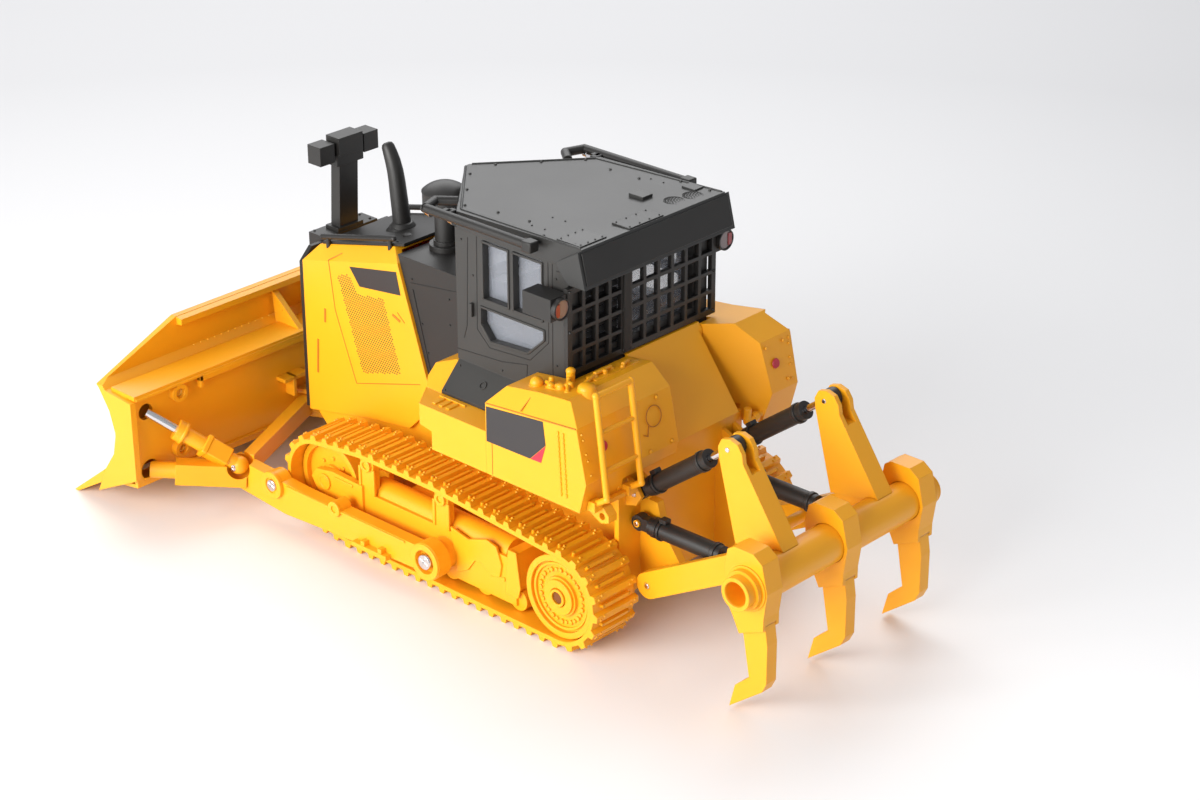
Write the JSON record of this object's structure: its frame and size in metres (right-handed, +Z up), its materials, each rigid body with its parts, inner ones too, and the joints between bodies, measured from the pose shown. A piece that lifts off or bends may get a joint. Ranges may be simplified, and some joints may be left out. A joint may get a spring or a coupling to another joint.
{
  "type": "toy bulldozer",
  "caption": "Toy crawler bulldozer with a lifting blade, a rear ripper frame with cylinders, turning track wheels, a guarded cab and a battery bay in its hull.",
  "frame": {"origin": "centre of the bounding box on the ground plane, below the hull", "axes": "+X forward along the tracks towards the blade, +Y to the machine's left, +Z up"},
  "size_m": [0.3058, 0.188, 0.1422],
  "materials": {
    "back_panel": "satin",
    "battery_box": "satin",
    "battery_cells": "wrapped",
    "battery_cover": "satin",
    "blade": "satin",
    "blade_back": "satin",
    "blade_lift_unit": "satin",
    "blade_screws": "polished",
    "cab": "satin",
    "cab_glass": "clear",
    "cab_interior": "satin",
    "cab_roof": "satin",
    "carrier_front_left": "satin",
    "carrier_front_right": "satin",
    "carrier_rear_left": "satin",
    "carrier_rear_right": "satin",
    "circuit_board": "board",
    "cowl": "satin",
    "cutting_edge": "satin",
    "deck": "satin",
    "drive_units": "satin",
    "exhaust_stack": "satin",
    "grab_frame": "satin",
    "hood": "satin",
    "hood_handrails": "satin",
    "hood_top": "satin",
    "hull": "satin",
    "idler_left": "satin",
    "idler_right": "satin",
    "lamp_mast": "satin",
    "lift_barrels": "satin",
    "lift_rods": "polished",
    "link_barrels": "satin",
    "link_rods": "polished",
    "pre_cleaner": "satin",
    "push_arms": "satin",
    "radiator_guard": "satin",
    "rear_lamp_lenses": "clear",
    "rear_lamps": "satin",
    "rear_lattice": "satin",
    "ripper_arms": "satin",
    "ripper_beam": "satin",
    "ripper_collars": "satin",
    "ripper_lift_unit": "satin",
    "ripper_mounts": "satin",
    "ripper_shanks": "satin",
    "ripper_towers": "satin",
    "roof_rails": "satin",
    "sprocket_left": "satin",
    "sprocket_right": "satin",
    "strut_barrels": "satin",
    "strut_rods": "polished",
    "switch_body": "satin",
    "switch_slider": "satin",
    "tank_left": "satin",
    "tank_right": "satin",
    "track_frame_left": "satin",
    "track_frame_right": "satin",
    "track_left": "satin",
    "track_right": "satin"
  },
  "bodies": {
    "chassis": {"back_panel": "back_panel", "battery_box": "battery_box", "battery_cells": "battery_cells", "battery_cover": "battery_cover", "blade_lift_unit": "blade_lift_unit", "cab": "cab", "cab_glass": "cab_glass", "cab_interior": "cab_interior", "cab_roof": "cab_roof", "circuit_board": "circuit_board", "cowl": "cowl", "deck": "deck", "drive_units": "drive_units", "exhaust_stack": "exhaust_stack", "grab_frame": "grab_frame", "hood": "hood", "hood_handrails": "hood_handrails", "hood_top": "hood_top", "hull": "hull", "lamp_mast": "lamp_mast", "pre_cleaner": "pre_cleaner", "radiator_guard": "radiator_guard", "rear_lamp_lenses": "rear_lamp_lenses", "rear_lamps": "rear_lamps", "rear_lattice": "rear_lattice", "ripper_lift_unit": "ripper_lift_unit", "ripper_mounts": "ripper_mounts", "roof_rails": "roof_rails", "switch_body": "switch_body", "tank_left": "tank_left", "tank_right": "tank_right", "track_frame_left": "track_frame_left", "track_frame_right": "track_frame_right", "track_left": "track_left", "track_right": "track_right"},
    "sprocket_left": {"sprocket_left": "sprocket_left"},
    "sprocket_right": {"sprocket_right": "sprocket_right"},
    "idler_left": {"idler_left": "idler_left"},
    "idler_right": {"idler_right": "idler_right"},
    "carrier_front_left": {"carrier_front_left": "carrier_front_left"},
    "carrier_front_right": {"carrier_front_right": "carrier_front_right"},
    "carrier_rear_left": {"carrier_rear_left": "carrier_rear_left"},
    "carrier_rear_right": {"carrier_rear_right": "carrier_rear_right"},
    "blade_frame": {"push_arms": "push_arms", "blade": "blade", "blade_back": "blade_back", "blade_screws": "blade_screws", "cutting_edge": "cutting_edge", "strut_barrels": "strut_barrels", "strut_rods": "strut_rods"},
    "ripper_arms": {"ripper_arms": "ripper_arms"},
    "ripper_beam": {"ripper_beam": "ripper_beam", "ripper_collars": "ripper_collars", "ripper_towers": "ripper_towers", "ripper_shanks": "ripper_shanks"},
    "link_cylinders": {"link_barrels": "link_barrels", "link_rods": "link_rods"},
    "lift_barrels": {"lift_barrels": "lift_barrels"},
    "lift_rods": {"lift_rods": "lift_rods"},
    "switch_slider": {"switch_slider": "switch_slider"}
  },
  "joints": [
    {"name": "sprocket_spin_left", "type": "hinge", "parent": "chassis", "child": "sprocket_left", "pos_m": [-0.0661, 0.044, 0.0195], "axis": [0, 1, 0], "continuous": true},
    {"name": "idler_spin_left", "type": "hinge", "parent": "chassis", "child": "idler_left", "pos_m": [0.0554, 0.044, 0.0215], "axis": [0, 1, 0], "continuous": true},
    {"name": "carrier_front_spin_left", "type": "hinge", "parent": "chassis", "child": "carrier_front_left", "pos_m": [0.0329, 0.044, 0.0356], "axis": [0, 1, 0], "continuous": true},
    {"name": "carrier_rear_spin_left", "type": "hinge", "parent": "chassis", "child": "carrier_rear_left", "pos_m": [-0.0061, 0.044, 0.0356], "axis": [0, 1, 0], "continuous": true},
    {"name": "sprocket_spin_right", "type": "hinge", "parent": "chassis", "child": "sprocket_right", "pos_m": [-0.0661, -0.044, 0.0195], "axis": [0, 1, 0], "continuous": true},
    {"name": "idler_spin_right", "type": "hinge", "parent": "chassis", "child": "idler_right", "pos_m": [0.0554, -0.044, 0.0215], "axis": [0, 1, 0], "continuous": true},
    {"name": "carrier_front_spin_right", "type": "hinge", "parent": "chassis", "child": "carrier_front_right", "pos_m": [0.0329, -0.044, 0.0356], "axis": [0, 1, 0], "continuous": true},
    {"name": "carrier_rear_spin_right", "type": "hinge", "parent": "chassis", "child": "carrier_rear_right", "pos_m": [-0.0061, -0.044, 0.0356], "axis": [0, 1, 0], "continuous": true},
    {"name": "blade_lift", "type": "hinge", "parent": "chassis", "child": "blade_frame", "pos_m": [-0.0081, 0, 0.015], "axis": [0, -1, 0], "range_deg": [0, 12]},
    {"name": "ripper_lift", "type": "hinge", "parent": "chassis", "child": "ripper_arms", "pos_m": [-0.0891, 0, 0.0245], "axis": [0, 1, 0], "range_deg": [0, 16]},
    {"name": "ripper_beam_pivot", "type": "hinge", "parent": "ripper_arms", "child": "ripper_beam", "pos_m": [-0.1331, 0, 0.049], "axis": [0, 1, 0], "range_deg": [-13.1, 0]},
    {"name": "link_pivot", "type": "hinge", "parent": "chassis", "child": "link_cylinders", "pos_m": [-0.0791, 0, 0.0547], "axis": [0, 1, 0], "range_deg": [0, 16.5]},
    {"name": "lift_cylinder_pivot", "type": "hinge", "parent": "chassis", "child": "lift_barrels", "pos_m": [-0.0791, 0, 0.0429], "axis": [0, 1, 0], "range_deg": [0, 14.3]},
    {"name": "lift_rod_slide", "type": "slide", "parent": "lift_barrels", "child": "lift_rods", "axis": [-1, 0, 0.0097], "range_m": [-0.0068, 0]},
    {"name": "switch_slide", "type": "slide", "parent": "chassis", "child": "switch_slider", "axis": [1, 0, 0], "range_m": [-0.002, 0.002]}
  ],
  "couplings": [
    {"joint": "ripper_beam_pivot", "follows": "ripper_lift", "ratio": -0.807},
    {"joint": "link_pivot", "follows": "ripper_lift", "ratio": 1.022},
    {"joint": "lift_cylinder_pivot", "follows": "ripper_lift", "ratio": 0.885},
    {"joint": "lift_rod_slide", "follows": "ripper_lift", "m_per_rad": -0.02363}
  ]
}
